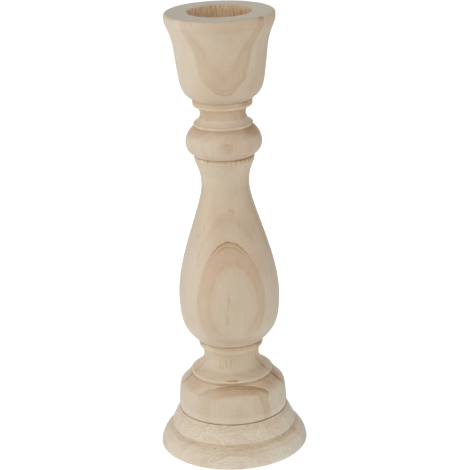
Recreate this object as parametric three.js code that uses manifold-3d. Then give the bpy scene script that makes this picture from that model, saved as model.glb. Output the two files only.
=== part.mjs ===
// A turned candlestick in raw wood: a stem with a candle bore in its cup, a two-tier base disc
// and the screw that draws the base up against the stem. Millimetres, +Z up, standing on Z = 0.

import * as THREE from "three";
import { mergeVertices } from "three/addons/utils/BufferGeometryUtils.js";
import Module from "manifold-3d";

const wasm = await Module();
wasm.setup();

// Candle bore and rim
const candleBore = 40; // diameter, for a tea light in its metal cup or a 40 mm pillar candle
const boreDepth = 20;
const boreEdge = 0.4; // broken edge where the bore meets the end grain
const rimLand = 13.75; // flat end grain round the bore
const rimSwell = 0.5; // how far the rim band stands out past the land
const rimTurnHeight = 3; // where the flare turns upright
const rimBandHeight = 3;
const rimRound = 0.9;
const rimRoundBulge = 0.15;

// Cup
const cupWall = 8.5; // wood left outside the bore where the bowl turns into the flare
const cupFlareHeight = 24;
const cupFlareTuck = 0.35; // how far the top of the flare lies inside the rim band
const cupBowlHeight = 24.6;
const cupFootRadius = 19;
const cupGroove = 0.6;
const cupRingHeight = 3.3;
const cupRingBulge = 0.25;

// Upper cove and the small lip under it
const upperCoveRise = 5.6;
const upperCoveTop = 18.9;
const upperWaistRadius = 14.5;
const upperCoveDrop = 6.3;
const smallLipRadius = 18.8;
const smallLipHeight = 1.1;

// Bead and the collar under it
const beadTopGroove = 1;
const beadTopRadius = 18.3;
const beadOverHeight = 10.2;
const beadRadius = 24.25;
const beadUnderHeight = 7.6;
const beadFootRadius = 20.3;
const beadFootGroove = 0.9;
const collarHeight = 2.9;
const collarRadius = 19.3;
const collarTaper = 0.2;

// Baluster
const neckFlareHeight = 16.9;
const neckRadius = 15.3;
const balusterHeight = 74;
const bellyRadius = 32.6;
const bellyUnderHeight = 30.7;
const bellyFootRadius = 22.2;

// Ring under the belly, lower cove and the large lip
const bellyGroove = 0.6;
const ringHeight = 3.7;
const ringTopRadius = 21.4;
const ringRadius = 20.8;
const lowerCoveRise = 7.9;
const lowerWaistRadius = 17.7;
const lowerCoveDrop = 10.2;
const largeLipRadius = 26.65;
const largeLipHeight = 0.9;
const largeLipGroove = 1.6;
const largeLipGrooveDepth = 1;

// Drum at the foot of the stem
const drumShoulderHeight = 8.2;
const drumShoulderStep = 1.2; // the shoulder meets the groove this far outside the lip
const drumSideHeight = 15.2;
const drumTaper = 1.05; // how far the drum's side leans in at its top
const drumRadius = 35.5;
const jointEdge = 0.35; // broken edge that shows as a dark hairline at the joint

// Base disc
const baseMargin = 0.25; // how far the top of the base stands out past the drum
const upperTierHeight = 11.9;
const upperTierSpread = 5.35;
const upperTierBulge = 0.1;
const tierGroove = 1.7;
const tierStep = 0.6; // the lower tier starts this far outside the upper one
const lowerTierHeight = 12.4;
const lowerTierSpread = 6.8;
const lowerTierBulge = 1.15;
const footRound = 0.2;

// Grooves cut with the corner of a tool
const grooveDepth = 0.7;
const grooveShape = 0.45; // a groove is deepest at this share of its height

// Spigot joint between stem and base
const spigotRadius = 9;
const spigotLength = 8;
const spigotEdge = 0.6;
const fitGap = 0.3; // play round the spigot and round the screw
const socketSpare = 0.5; // room left under the spigot

// Pan-head wood screw
const screwThread = 5; // outside diameter
const screwCore = 3.3;
const screwPitch = 2.6;
const threadShare = 0.5; // share of the pitch that the ridge of the thread takes
const screwLength = 45; // from under the head to the tip
const screwShank = 13; // plain length under the head
const screwShankDiameter = 4.5;
const screwPoint = 6;
const screwHead = 9.5;
const screwHeadTop = 5.9; // flat on the crown of the head
const screwHeadHeight = 3.2;
const screwHeadRim = 1;
const screwHeadBulge = 0.5;
const screwRecessPlay = 1.2; // room round the head for a driver
const screwRecessDepth = 6;
const crossLength = 4.6;
const crossWidth = 1;
const crossDepth = 1.9;
const pilotSpare = 1;

// The turned curves. Angles are in degrees from straight up, outwards being positive. The curve
// holds its first direction, and settles into its last one, over these shares of its rise.
const drumSideCurve = { leave: 0, hold: 0.6, arrive: -12, settle: 0.1, steps: 3 };
const drumShoulderCurve = { leave: -17, hold: 0.48, arrive: -37, settle: 1.25, steps: 4 };
const lowerCoveDropCurve = { leave: -61, hold: 0.59, arrive: 0, settle: 0.43, steps: 4 };
const lowerCoveRiseCurve = { leave: 0, hold: 0.4, arrive: 36, settle: 0.3, steps: 4 };
const bellyUnderCurve = { leave: 42, hold: 0.31, arrive: 0, settle: 0.7, steps: 8 };
const balusterCurve = { leave: 0, hold: 0.353, arrive: 0, settle: 0.188, steps: 10 };
const neckFlareCurve = { leave: 0, hold: 0.59, arrive: 15, settle: 0.27, steps: 4 };
const beadUnderCurve = { leave: 42, hold: 0.33, arrive: 0, settle: 0.66, steps: 5 };
const beadOverCurve = { leave: 0, hold: 0.5, arrive: -68, settle: 0.25, steps: 6 };
const upperCoveDropCurve = { leave: -76, hold: 0.4, arrive: 0, settle: 0.44, steps: 4 };
const upperCoveRiseCurve = { leave: 0, hold: 0.51, arrive: 48, settle: 0.3, steps: 4 };
const cupBowlCurve = { leave: 58, hold: 0.36, arrive: 7, settle: 0.67, steps: 8 };
const cupFlareCurve = { leave: 7, hold: 0.5, arrive: 22, settle: 0.53, steps: 4 };
const rimTurnCurve = { leave: 22, hold: 0.2, arrive: 0, settle: 0.4, steps: 2 };

// Facets round the turned pieces and the screw, and along its thread
const woodSides = 48;
const headSides = 24;
const shaftSides = 12;
const rowsPerTurn = 6;

// Sizes that follow from the ones above
const baseHeight = lowerTierHeight + tierGroove + upperTierHeight;
const baseTopRadius = drumRadius + baseMargin;
const boreRadius = candleBore / 2;
const rimRadius = boreRadius + boreEdge + rimLand + rimSwell;
const screwTipHeight = screwRecessDepth + screwLength;
const screwHoleRadius = screwThread / 2 + fitGap;

// An outline in radius and height, drawn from one end to the other.
class Outline {
  constructor(radius, height) {
    this.points = [new THREE.Vector2(radius, height)];
  }
  get end() {
    return this.points[this.points.length - 1];
  }
  // Straight run to a radius, some way up or down.
  run(radius, rise = 0) {
    this.points.push(new THREE.Vector2(radius, this.end.y + rise));
  }
  // Smooth stretch that follows one of the turned curves.
  sweep(radius, rise, { leave, hold, arrive, settle, steps }) {
    const from = this.end.clone();
    const to = new THREE.Vector2(radius, from.y + rise);
    const handle = (angle, share) => {
      const turn = THREE.MathUtils.degToRad(angle);
      return new THREE.Vector2(Math.sin(turn), Math.cos(turn)).multiplyScalar(share * rise);
    };
    const first = from.clone().add(handle(leave, hold));
    const second = to.clone().sub(handle(arrive, settle));
    const curve = new THREE.CubicBezierCurve(from, first, second, to);
    this.points.push(...curve.getPoints(steps).slice(1));
  }
  // Shallow arc that stands proud of its chord by the given bulge.
  bow(radius, rise, bulge, steps) {
    const from = this.end.clone();
    const chord = new THREE.Vector2(radius - from.x, rise);
    const outward = new THREE.Vector2(chord.y, -chord.x).normalize();
    for (let i = 1; i <= steps; i++) {
      const share = i / steps;
      const lift = 4 * bulge * share * (1 - share);
      this.points.push(from.clone().addScaledVector(chord, share).addScaledVector(outward, lift));
    }
  }
  // Narrow groove, from the present radius up to another.
  groove(radius, rise, depth) {
    this.run(Math.min(this.end.x, radius) - depth, rise * grooveShape);
    this.run(radius, rise * (1 - grooveShape));
  }
}

// A solid turned from an outline about +Z.
function turned(outline, sides) {
  return new THREE.LatheGeometry(outline.points, sides).rotateX(Math.PI / 2);
}

function solidOf(geometry) {
  const bare = geometry.clone();
  bare.deleteAttribute("normal");
  bare.deleteAttribute("uv");
  const merged = mergeVertices(bare, 1e-4);
  return new wasm.Manifold(
    new wasm.Mesh({
      numProp: 3,
      vertProperties: merged.attributes.position.array,
      triVerts: new Uint32Array(merged.index.array),
    }),
  );
}

function geometryOf(solid) {
  const mesh = solid.getMesh();
  const positions = new THREE.BufferAttribute(Float32Array.from(mesh.vertProperties), 3);
  const geometry = new THREE.BufferGeometry();
  geometry.setAttribute("position", positions);
  geometry.setIndex(new THREE.BufferAttribute(Uint32Array.from(mesh.triVerts), 1));
  geometry.computeVertexNormals();
  return geometry;
}

// Stem, from the pilot hole in its foot up the outside and down into the bore.
function stemOutline() {
  const pilotTop = screwTipHeight + pilotSpare;
  const spigotEnd = baseHeight - spigotLength;
  const line = new Outline(0, pilotTop);
  line.run(screwHoleRadius, -screwHoleRadius);
  line.run(screwHoleRadius, spigotEnd - pilotTop + screwHoleRadius);
  line.run(spigotRadius - spigotEdge);
  line.run(spigotRadius, spigotEdge);
  line.run(spigotRadius, spigotLength - spigotEdge);
  drum(line);
  lowerMouldings(line);
  baluster(line);
  beadAndLip(line);
  cup(line);
  bore(line);
  return line;
}

function drum(line) {
  line.run(drumRadius - jointEdge);
  line.run(drumRadius, jointEdge);
  line.sweep(drumRadius - drumTaper, drumSideHeight - jointEdge, drumSideCurve);
  line.sweep(largeLipRadius + drumShoulderStep, drumShoulderHeight, drumShoulderCurve);
}

function lowerMouldings(line) {
  line.groove(largeLipRadius, largeLipGroove, largeLipGrooveDepth);
  line.run(largeLipRadius, largeLipHeight);
  line.sweep(lowerWaistRadius, lowerCoveDrop, lowerCoveDropCurve);
  line.sweep(ringRadius, lowerCoveRise, lowerCoveRiseCurve);
  line.run(ringTopRadius, ringHeight);
  line.groove(bellyFootRadius, bellyGroove, grooveDepth);
}

function baluster(line) {
  line.sweep(bellyRadius, bellyUnderHeight, bellyUnderCurve);
  line.sweep(neckRadius, balusterHeight, balusterCurve);
  line.sweep(collarRadius - collarTaper, neckFlareHeight, neckFlareCurve);
  line.run(collarRadius, collarHeight);
}

function beadAndLip(line) {
  line.groove(beadFootRadius, beadFootGroove, grooveDepth);
  line.sweep(beadRadius, beadUnderHeight, beadUnderCurve);
  line.sweep(beadTopRadius, beadOverHeight, beadOverCurve);
  line.groove(smallLipRadius, beadTopGroove, grooveDepth);
  line.run(smallLipRadius, smallLipHeight);
}

function cup(line) {
  line.sweep(upperWaistRadius, upperCoveDrop, upperCoveDropCurve);
  line.sweep(upperCoveTop, upperCoveRise, upperCoveRiseCurve);
  line.bow(cupFootRadius, cupRingHeight, cupRingBulge, 3);
  line.groove(cupFootRadius, cupGroove, grooveDepth);
  line.sweep(boreRadius + cupWall, cupBowlHeight, cupBowlCurve);
  line.sweep(rimRadius - cupFlareTuck, cupFlareHeight, cupFlareCurve);
  line.sweep(rimRadius, rimTurnHeight, rimTurnCurve);
  line.run(rimRadius, rimBandHeight - rimRound);
  line.bow(rimRadius - rimSwell, rimRound, rimRoundBulge, 2);
}

function bore(line) {
  line.run(boreRadius + boreEdge);
  line.run(boreRadius, -boreEdge);
  line.run(boreRadius, boreEdge - boreDepth);
  line.run(0);
}

// Base disc, from the screw recess out under the foot, up the tiers and down the socket.
function baseOutline() {
  const socketRadius = spigotRadius + fitGap;
  const socketDepth = spigotLength + socketSpare;
  const recessRadius = screwHead / 2 + screwRecessPlay;
  const upperFoot = baseTopRadius + upperTierSpread;
  const lowerTop = upperFoot + tierStep;
  const foot = lowerTop + lowerTierSpread;
  const line = new Outline(recessRadius, 0);
  line.run(foot - footRound);
  line.run(foot, footRound);
  line.bow(lowerTop, lowerTierHeight - footRound, lowerTierBulge, 8);
  line.groove(upperFoot, tierGroove, grooveDepth);
  line.bow(baseTopRadius, upperTierHeight - jointEdge, upperTierBulge, 3);
  line.run(baseTopRadius - jointEdge, jointEdge);
  line.run(socketRadius);
  line.run(socketRadius, -socketDepth);
  line.run(screwHoleRadius);
  line.run(screwHoleRadius, screwRecessDepth + socketDepth - baseHeight);
  line.run(recessRadius);
  line.run(recessRadius, -screwRecessDepth);
  return line;
}

// Radius of the screw's shaft at a height above the seat and at an angle in turns.
function shaftRadius(height, turn) {
  if (height <= screwShank) return screwShankDiameter / 2;
  const core = screwCore / 2;
  const crest = screwThread / 2;
  const phase = (((height / screwPitch - turn) % 1) + 1) % 1;
  const ridge = Math.max(0, 1 - Math.abs(2 * phase - 1) / threadShare);
  const point = Math.min(1, (screwLength - height) / screwPoint);
  return (core + (crest - core) * ridge) * point;
}

// Shaft with its helical thread: rings of points joined row by row, closed by a fan at each end.
function screwShaft() {
  const root = -screwHeadHeight / 2; // the shaft starts inside the head
  const rowRise = screwPitch / rowsPerTurn;
  const heights = [root];
  for (let height = screwShank; height < screwLength - rowRise / 2; height += rowRise) {
    heights.push(height);
  }
  const positions = [0, 0, root];
  for (const height of heights) {
    for (let side = 0; side < shaftSides; side++) {
      const angle = (side / shaftSides) * 2 * Math.PI;
      const radius = shaftRadius(height, side / shaftSides);
      positions.push(radius * Math.cos(angle), radius * Math.sin(angle), height);
    }
  }
  positions.push(0, 0, screwLength);
  const geometry = new THREE.BufferGeometry();
  geometry.setAttribute("position", new THREE.Float32BufferAttribute(positions, 3));
  geometry.setIndex(shaftFaces(heights.length));
  return geometry;
}

// Faces of the shaft: point 0 is the root, then come the rings, and the tip is last.
function shaftFaces(rows) {
  const faces = [];
  const at = (row, side) => 1 + row * shaftSides + (side % shaftSides);
  const tip = at(rows, 0);
  for (let side = 0; side < shaftSides; side++) {
    faces.push(0, at(0, side + 1), at(0, side));
    for (let row = 1; row < rows; row++) {
      faces.push(at(row - 1, side), at(row - 1, side + 1), at(row, side));
      faces.push(at(row - 1, side + 1), at(row, side + 1), at(row, side));
    }
    faces.push(at(rows - 1, side), at(rows - 1, side + 1), tip);
  }
  return faces;
}

function screwHeadOutline() {
  const line = new Outline(0, -screwHeadHeight);
  line.run(screwHeadTop / 2);
  line.bow(screwHead / 2, screwHeadHeight - screwHeadRim, screwHeadBulge, 3);
  line.run(screwHead / 2, screwHeadRim);
  line.run(0);
  return line;
}

// The screw stands with the underside of its head at Z = 0 and its tip up.
function screwGeometry() {
  const arm = () => new THREE.BoxGeometry(crossLength, crossWidth, crossDepth * 2);
  const along = arm().translate(0, 0, -screwHeadHeight);
  const across = arm().rotateZ(Math.PI / 2).translate(0, 0, -screwHeadHeight);
  const cross = solidOf(along).add(solidOf(across));
  const head = solidOf(turned(screwHeadOutline(), headSides));
  return geometryOf(head.add(solidOf(screwShaft())).subtract(cross));
}

function piece(name, geometry, color, roughness, metalness = 0) {
  const material = new THREE.MeshStandardMaterial({ color, roughness, metalness });
  const mesh = new THREE.Mesh(geometry, material);
  mesh.name = name;
  return mesh;
}

const stem = piece("turned_stem", turned(stemOutline(), woodSides), 0xcdb899, 0.75);
const base = piece("turned_base", turned(baseOutline(), woodSides), 0xd1bf9f, 0.75);
const screw = piece("base_screw", screwGeometry(), 0xb9bbbd, 0.35, 1);
screw.position.z = screwRecessDepth;

const group = new THREE.Group();
group.add(stem, base, screw);

export default group;
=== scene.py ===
import math
import bmesh
import bpy
from mathutils import Matrix, Vector, noise
from mathutils.geometry import interpolate_bezier


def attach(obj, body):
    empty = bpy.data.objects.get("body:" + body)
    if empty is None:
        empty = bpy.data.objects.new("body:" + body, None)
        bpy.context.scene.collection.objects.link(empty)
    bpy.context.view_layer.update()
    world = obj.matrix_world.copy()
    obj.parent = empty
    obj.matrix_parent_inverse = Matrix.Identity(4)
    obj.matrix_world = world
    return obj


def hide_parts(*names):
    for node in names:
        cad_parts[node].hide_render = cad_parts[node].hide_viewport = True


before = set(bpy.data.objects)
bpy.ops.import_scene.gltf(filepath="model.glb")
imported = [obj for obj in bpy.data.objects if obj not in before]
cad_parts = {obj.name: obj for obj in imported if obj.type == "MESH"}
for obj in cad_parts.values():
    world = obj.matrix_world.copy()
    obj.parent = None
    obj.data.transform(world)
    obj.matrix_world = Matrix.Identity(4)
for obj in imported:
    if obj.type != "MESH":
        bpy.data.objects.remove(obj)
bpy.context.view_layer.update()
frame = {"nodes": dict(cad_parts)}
print("frame loaded:", ", ".join(frame["nodes"]))

mm = 0.001  # the pieces are written in millimetres and made in metres

# The camera stands where the photograph was taken from, as fitted to the candlestick's outline
cameraValues = {
    "pictureSide": 470,
    "focalPixels": 1610.6,
    "sensor": 36,  # mm, as are the next two
    "away": 981.3,
    "height": 484.7,
    "pitch": 19.163,  # degrees down, then degrees to the right and degrees of tilt
    "pan": 0.293,
    "roll": 1.982,
}


def placeCamera(v):
    pitch, pan, roll = (math.radians(v[name]) for name in ("pitch", "pan", "roll"))
    ahead = Vector((math.sin(pan) * math.cos(pitch), math.cos(pan) * math.cos(pitch), -math.sin(pitch)))
    level = Vector((math.cos(pan), -math.sin(pan), 0))
    down = ahead.cross(level)
    right = level * math.cos(roll) + down * math.sin(roll)
    up = level * math.sin(roll) - down * math.cos(roll)
    data = bpy.data.cameras.new("photoCamera")
    data.sensor_width = v["sensor"]
    data.lens = v["sensor"] * v["focalPixels"] / v["pictureSide"]
    camera = bpy.data.objects.new("photoCamera", data)
    bpy.context.collection.objects.link(camera)
    turn = Matrix((right, up, -ahead)).transposed().to_4x4()
    camera.matrix_world = Matrix.Translation((0, -v["away"] * mm, v["height"] * mm)) @ turn
    bpy.context.scene.camera = camera


placeCamera(cameraValues)
bpy.context.scene.view_settings.view_transform = "Standard"
print("camera placed")


def linearColour(text):
    parts = [int(text[i:i + 2], 16) / 255 for i in (1, 3, 5)]
    return (*[p / 12.92 if p <= 0.04045 else ((p + 0.055) / 1.055) ** 2.4 for p in parts], 1)


# Adds a node with its settings and links. An input given a node takes its first live output
def addNode(tree, kind, settings=None, inputs=None):
    node = tree.nodes.new("ShaderNode" + kind)
    for name, value in (settings or {}).items():
        if name == "stops":
            stops = node.color_ramp.elements
            while len(stops) < len(value):
                stops.new(1)
            for stop, (place, shade) in zip(stops, value):
                stop.position = place
                stop.color = shade if isinstance(shade, tuple) else (shade, shade, shade, 1)
        else:
            setattr(node, name, value)
    for name, value in (inputs or {}).items():
        if isinstance(value, bpy.types.Node):
            value = next(socket for socket in value.outputs if socket.enabled)
        if isinstance(value, bpy.types.NodeSocket):
            tree.links.new(value, node.inputs[name])
        else:
            node.inputs[name].default_value = value
    return node


def newMaterial(name):
    material = bpy.data.materials.new(name)
    material.use_nodes = True
    material.node_tree.nodes.clear()
    return material, material.node_tree


# Reads a value off a list of (place, shade) stops
def lookUp(tree, value, stops):
    low, high = stops[0][0], stops[-1][0]
    across = addNode(tree, "MapRange", None, {"Value": value, "From Min": low, "From Max": high})
    places = [((place - low) / (high - low), shade) for place, shade in stops]
    return addNode(tree, "ValToRGB", {"stops": places}, {"Fac": across})


# Eases from one value to another while the input goes from low to high
def ease(tree, value, low, high, start=0, end=1):
    return addNode(tree, "MapRange", {"interpolation_type": "SMOOTHSTEP"},
                   {"Value": value, "From Min": low, "From Max": high, "To Min": start, "To Max": end})


def compute(tree, operation, a, b=0, c=0):
    return addNode(tree, "Math", {"operation": operation}, {0: a, 1: b, 2: c})


# Noise with a scale of its own along x, y and z, and a salt that makes each one different
def stretchedNoise(tree, place, scale, detail, roughness=0.5, salt=0):
    moved = addNode(tree, "VectorMath", {"operation": "MULTIPLY_ADD"}, {0: place, 1: scale, 2: [salt] * 3})
    return addNode(tree, "TexNoise", None,
                   {"Vector": moved, "Scale": 1, "Detail": detail, "Roughness": roughness})


# Ends a material in one shader, with a bump this many mm deep
def finishMaterial(tree, height, depth, strength, inputs):
    bump = addNode(tree, "Bump", None, {"Strength": strength, "Distance": depth * mm, "Height": height})
    shader = addNode(tree, "BsdfPrincipled", None, {**inputs, "Normal": bump})
    addNode(tree, "OutputMaterial", None, {0: shader})


# Half outline of a turned piece: a list of (radius, height, softness of that corner)
def run(line, radius, rise=0, soft=0):
    line.append((radius, line[-1][1] + rise, soft))


# Smooth stretch on one Bezier curve. The curve says how many degrees from upright it leaves at,
# over what share of the rise it holds that, the same for its arrival, and the points' spacing in mm
def sweep(line, radius, rise, curve, soft=0):
    start, end = Vector(line[-1][:2]), Vector((radius, line[-1][1] + rise))
    leave, hold, arrive, settle, spacing = curve
    leave, arrive = math.radians(leave), math.radians(arrive)
    first = start + Vector((math.sin(leave), math.cos(leave))) * hold * rise
    second = end - Vector((math.sin(arrive), math.cos(arrive))) * settle * rise
    count = max(5, math.ceil((end - start).length / spacing) + 1)
    points = interpolate_bezier(start, first, second, end, count)
    line += [(p.x, p.y, 0) for p in points[1:-1]] + [(end.x, end.y, soft)]


# Shallow arc that stands proud of its chord
def bow(line, radius, rise, bulge, steps, soft=0):
    start = Vector(line[-1][:2])
    chord = Vector((radius, start.y + rise)) - start
    outward = Vector((chord.y, -chord.x)).normalized() * 4 * bulge
    for i in range(1, steps + 1):
        t = i / steps
        point = start + chord * t + outward * t * (1 - t)
        line.append((point.x, point.y, soft if i == steps else 0))


# Narrow groove that ends on another radius
def groove(line, radius, rise, depth, soft, floorShare=0.45, floorSoft=0.12):
    run(line, min(line[-1][0], radius) - depth, rise * floorShare, floorSoft)
    run(line, radius, rise * (1 - floorShare), soft)


# Rounds the outline's corners, spins a quarter of it and mirrors that twice. No edge of the
# outline stays longer than the last value, in mm
def turnedBody(line, steps, closed=False, longest=1.8):
    shape = bmesh.new()
    points = [shape.verts.new((radius * mm, 0, height * mm)) for radius, height, soft in line]
    pairs = list(zip(points, points[1:])) + ([(points[-1], points[0])] if closed else [])
    for pair in pairs:
        shape.edges.new(pair)
    for point, (radius, height, soft) in zip(points, line):
        if soft:
            bmesh.ops.bevel(shape, geom=[point], offset=soft * mm, offset_type="OFFSET", segments=3,
                            profile=0.5, affect="VERTICES", clamp_overlap=True, material=-1)
    for edge in shape.edges[:]:
        cuts = int(edge.calc_length() / (longest * mm))
        if cuts:
            bmesh.ops.subdivide_edges(shape, edges=[edge], cuts=cuts)
    bmesh.ops.spin(shape, geom=shape.verts[:] + shape.edges[:], cent=(0, 0, 0), axis=(0, 0, 1),
                   dvec=(0, 0, 0), angle=math.pi / 2, steps=steps // 4, use_merge=False)
    for axis in "XY":
        bmesh.ops.mirror(shape, geom=shape.verts[:] + shape.edges[:] + shape.faces[:],
                         axis=axis, merge_dist=1e-6)
    bmesh.ops.remove_doubles(shape, verts=shape.verts, dist=1e-7)
    bmesh.ops.recalc_face_normals(shape, faces=shape.faces)
    return shape


def finishPiece(name, shape, materials, node):
    data = bpy.data.meshes.new(name)
    shape.to_mesh(data)
    shape.free()
    for face in data.polygons:
        face.use_smooth = True
    for material in materials:
        data.materials.append(material)
    piece = bpy.data.objects.new(name, data)
    bpy.context.collection.objects.link(piece)
    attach(piece, "root")
    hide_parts(node)
    print(name, "made,", len(data.polygons), "faces")


# Stem: drum, coves, belly, bead and cup, turned from one blank
stemValues = {
    "boreRadius": 20,
    "boreDepth": 20,
    "boreEdge": 0.4,
    "boreSteps": 18,
    "borePit": 0.9,  # left by the drill's point
    "borePitRadius": 1.6,
    "rimLand": 13.75,
    "rimSwell": 0.5,
    "rimTurnHeight": 3,
    "rimBandHeight": 3,
    "rimRound": 1.3,
    "rimRoundWidth": 0.9,
    "rimBulge": 0.35,
    "cupWall": 8.5,
    "cupFlareHeight": 24,
    "cupFlareTuck": 0.35,
    "cupBowlHeight": 24.6,
    "cupFootRadius": 19,
    "cupGroove": 0.65,
    "cupRingHeight": 2.2,
    "cupRingBulge": 0.15,
    "cupLipHeight": 1.5,
    "upperCoveRise": 5.05,
    "upperCoveTop": 18.9,
    "upperWaistRadius": 14.5,
    "upperCoveDrop": 6,
    "smallLipRadius": 18.8,
    "smallLipHeight": 1.6,
    "beadTopGroove": 0.8,
    "beadTopRadius": 18.3,
    "beadOverHeight": 10.2,
    "beadRadius": 24.25,
    "beadUnderHeight": 7.6,
    "beadFootRadius": 20.3,
    "beadFootGroove": 0.9,
    "collarHeight": 2.9,
    "collarRadius": 19.3,
    "collarTaper": 0.2,
    "neckFlareHeight": 16.9,
    "neckRadius": 15.3,
    "balusterHeight": 74,
    "bellyRadius": 32.6,
    "bellyUnderHeight": 30.7,
    "bellyFootRadius": 22.2,
    "bellyGroove": 0.6,
    "ringHeight": 2.7,
    "ringLipHeight": 1.7,
    "ringTopRadius": 21.4,
    "ringRadius": 20.8,
    "lowerCoveRise": 7.1,
    "lowerWaistRadius": 17.95,
    "lowerCoveDrop": 10.2,
    "largeLipRadius": 26.65,
    "largeLipHeight": 1.1,
    "largeLipGroove": 1.1,
    "largeLipGrooveDepth": 0.22,
    "drumShoulderHeight": 8.5,
    "drumShoulderStep": 1.1,
    "drumSideHeight": 15.2,
    "drumTaper": 1.05,
    "drumRadius": 35.5,
    "drumFoot": 26,
    "nick": 0.3,  # how far a lip's bead stands off the wood beside it
    "nickHeight": 0.1,
    "lipSteps": 5,
    "ringSteps": 6,
    "ringFullness": 0.7,
    "grooveDepth": 0.5,
    "spigotRadius": 9,
    "spigotLength": 8,
    "spigotEdge": 0.6,
    "pilotRadius": 2.8,
    "pilotTop": 52,
    "curves": {  # as sweep reads them
        "drumSide": (0, 0.6, -12, 0.1, 0.8),
        "drumShoulder": (-17, 0.48, -37, 1.25, 0.8),
        "lowerCoveUnder": (-61, 0.5, 0, 0.37, 0.7),
        "lowerCoveOver": (0, 0.45, 58, 0.3, 0.7),
        "bellyUnder": (42, 0.31, 0, 0.7, 1.3),
        "baluster": (0, 0.353, 0, 0.188, 2),
        "neckFlare": (0, 0.59, 15, 0.27, 1),
        "beadUnder": (42, 0.33, 0, 0.66, 0.7),
        "beadOver": (0, 0.5, -68, 0.25, 0.7),
        "upperCoveUnder": (-72, 0.4, 0, 0.44, 0.6),
        "upperCoveOver": (0, 0.55, 74, 0.3, 0.6),
        "cupBowl": (58, 0.36, 7, 0.67, 1.2),
        "cupFlare": (7, 0.5, 22, 0.53, 1.8),
        "rimTurn": (22, 0.2, 0, 0.4, 0.7),
    },
    "edges": {  # how far a sanded corner is rounded
        "drumFoot": 0.12, "drumTop": 0.6, "lip": 0.25, "largeLip": 0.22, "groove": 0.2, "ring": 0.3,
        "collarFoot": 0.8, "mouth": 0.2, "bore": 0.15, "boreFloor": 0.3,
    },
    "steps": 200,
}


def stemOutline(v):
    curves, edges = v["curves"], v["edges"]
    line = [(0, v["pilotTop"], 0)]
    run(line, v["pilotRadius"], -v["pilotRadius"])
    run(line, v["pilotRadius"], v["drumFoot"] - v["spigotLength"] - line[-1][1])
    run(line, v["spigotRadius"] - v["spigotEdge"])
    run(line, v["spigotRadius"], v["spigotEdge"])
    run(line, v["spigotRadius"], v["spigotLength"] - v["spigotEdge"])
    run(line, v["drumRadius"], 0, edges["drumFoot"])
    sweep(line, v["drumRadius"] - v["drumTaper"], v["drumSideHeight"], curves["drumSide"], edges["drumTop"])
    sweep(line, v["largeLipRadius"] + v["drumShoulderStep"], v["drumShoulderHeight"],
          curves["drumShoulder"], edges["lip"])
    groove(line, v["largeLipRadius"], v["largeLipGroove"], v["largeLipGrooveDepth"], edges["largeLip"])
    bow(line, v["largeLipRadius"] - v["nick"], v["largeLipHeight"], v["nick"], v["lipSteps"])
    sweep(line, v["lowerWaistRadius"], v["lowerCoveDrop"], curves["lowerCoveUnder"])
    sweep(line, v["ringRadius"] - v["nick"], v["lowerCoveRise"], curves["lowerCoveOver"])
    bow(line, v["ringRadius"], v["ringLipHeight"], v["nick"] * v["ringFullness"], v["ringSteps"])
    run(line, v["ringRadius"] - v["nick"] / 2, v["nickHeight"])
    run(line, v["ringTopRadius"], v["ringHeight"], edges["ring"])
    groove(line, v["bellyFootRadius"], v["bellyGroove"], v["grooveDepth"], edges["groove"])
    sweep(line, v["bellyRadius"], v["bellyUnderHeight"], curves["bellyUnder"])
    sweep(line, v["neckRadius"], v["balusterHeight"], curves["baluster"])
    sweep(line, v["collarRadius"] - v["collarTaper"], v["neckFlareHeight"], curves["neckFlare"],
          edges["collarFoot"])
    run(line, v["collarRadius"], v["collarHeight"], edges["ring"])
    groove(line, v["beadFootRadius"], v["beadFootGroove"], v["grooveDepth"], edges["groove"])
    sweep(line, v["beadRadius"], v["beadUnderHeight"], curves["beadUnder"])
    sweep(line, v["beadTopRadius"], v["beadOverHeight"], curves["beadOver"], edges["lip"])
    groove(line, v["smallLipRadius"], v["beadTopGroove"], v["grooveDepth"], edges["lip"])
    bow(line, v["smallLipRadius"] - v["nick"], v["smallLipHeight"], v["nick"], v["lipSteps"])
    sweep(line, v["upperWaistRadius"], v["upperCoveDrop"], curves["upperCoveUnder"])
    sweep(line, v["upperCoveTop"] - v["nick"], v["upperCoveRise"], curves["upperCoveOver"])
    bow(line, v["upperCoveTop"], v["cupLipHeight"], v["nick"] * v["ringFullness"], v["ringSteps"])
    run(line, v["upperCoveTop"] - v["nick"] / 2, v["nickHeight"])
    bow(line, v["cupFootRadius"], v["cupRingHeight"], v["cupRingBulge"], v["lipSteps"], edges["lip"])
    groove(line, v["cupFootRadius"], v["cupGroove"], v["grooveDepth"], edges["groove"])
    sweep(line, v["boreRadius"] + v["cupWall"], v["cupBowlHeight"], curves["cupBowl"])
    mouth = v["boreRadius"] + v["boreEdge"]
    rim = mouth + v["rimLand"] + v["rimSwell"]
    sweep(line, rim - v["cupFlareTuck"], v["cupFlareHeight"], curves["cupFlare"])
    sweep(line, rim, v["rimTurnHeight"], curves["rimTurn"])
    run(line, rim, v["rimBandHeight"] - v["rimRound"])
    bow(line, rim - v["rimSwell"] - v["rimRoundWidth"], v["rimRound"], v["rimBulge"], v["ringSteps"])
    run(line, mouth, 0, edges["mouth"])
    run(line, v["boreRadius"], -v["boreEdge"], edges["bore"])
    bow(line, v["boreRadius"], v["boreEdge"] - v["boreDepth"], 0, v["boreSteps"], edges["boreFloor"])
    run(line, v["borePitRadius"], 0, edges["boreFloor"])
    run(line, 0, -v["borePit"])
    return line


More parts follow.
